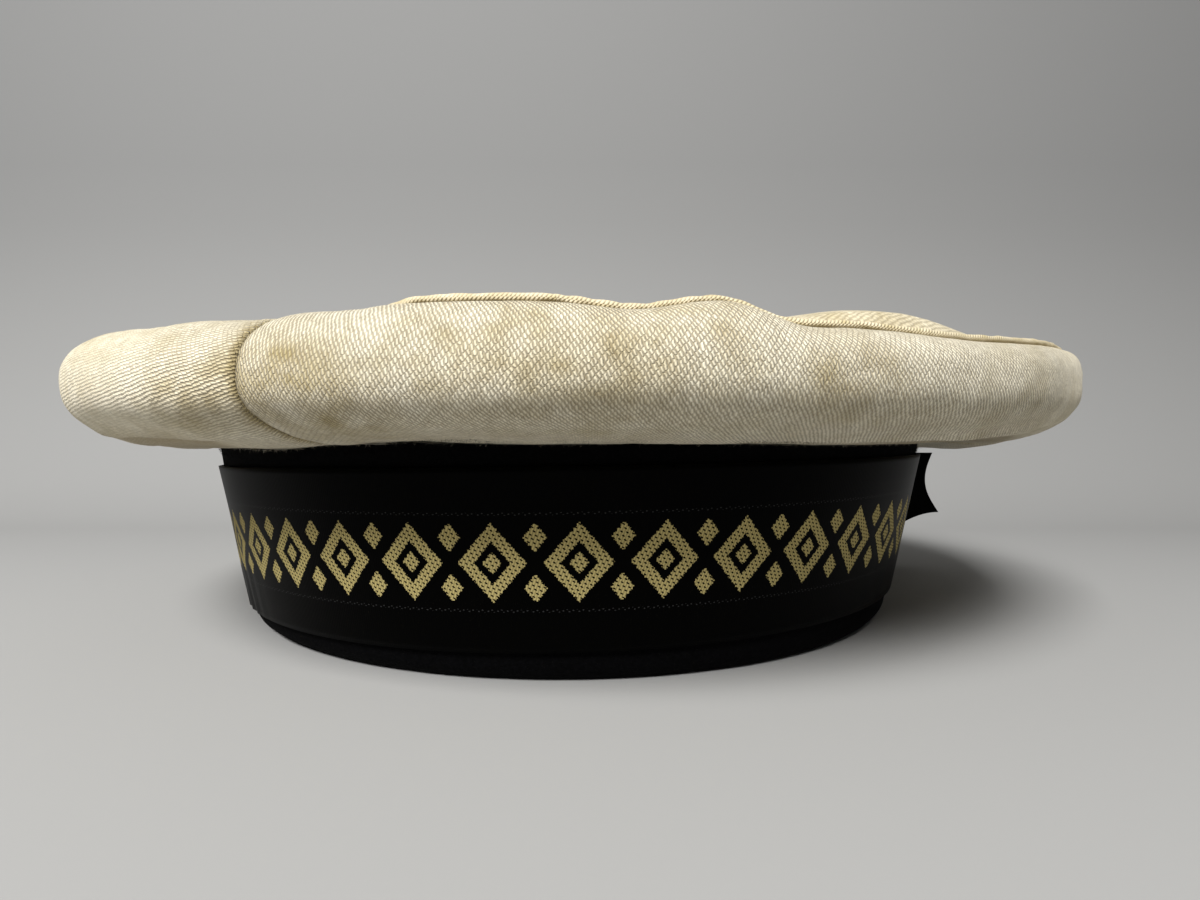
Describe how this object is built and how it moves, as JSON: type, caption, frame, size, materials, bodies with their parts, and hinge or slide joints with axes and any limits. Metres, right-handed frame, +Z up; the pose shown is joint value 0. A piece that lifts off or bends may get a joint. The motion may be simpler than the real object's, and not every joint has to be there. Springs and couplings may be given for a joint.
{
  "type": "sailor cap",
  "caption": "Round flat sailor cap with a soft plate-shaped twill crown, piped top seam, tapered wool headband and woven ribbon with a free end.",
  "frame": {"origin": "centre of the head opening, on the plane that the cap rests on", "axes": "+Z up through the crown, -Y towards the front of the cap, +X towards the side where the ribbon's free end stands out"},
  "size_m": [0.2634, 0.2615, 0.0673],
  "materials": {
    "wool_cloth": "napped black wool cloth, matte",
    "woven_ribbon": "ribbed black woven ribbon with gold woven ornament, low sheen",
    "cotton_twill": "aged off-white cotton twill with yellow-brown stains, soft sheen",
    "twill_piping": "aged off-white twisted piping, matte"
  },
  "bodies": {
    "root": {"headband": "wool_cloth", "tally_ribbon": "woven_ribbon", "side_panel_front": "cotton_twill", "side_panel_right": "cotton_twill", "side_panel_back": "cotton_twill", "side_panel_left": "cotton_twill", "crown_top": "cotton_twill", "piping": "twill_piping"}
  },
  "joints": []
}
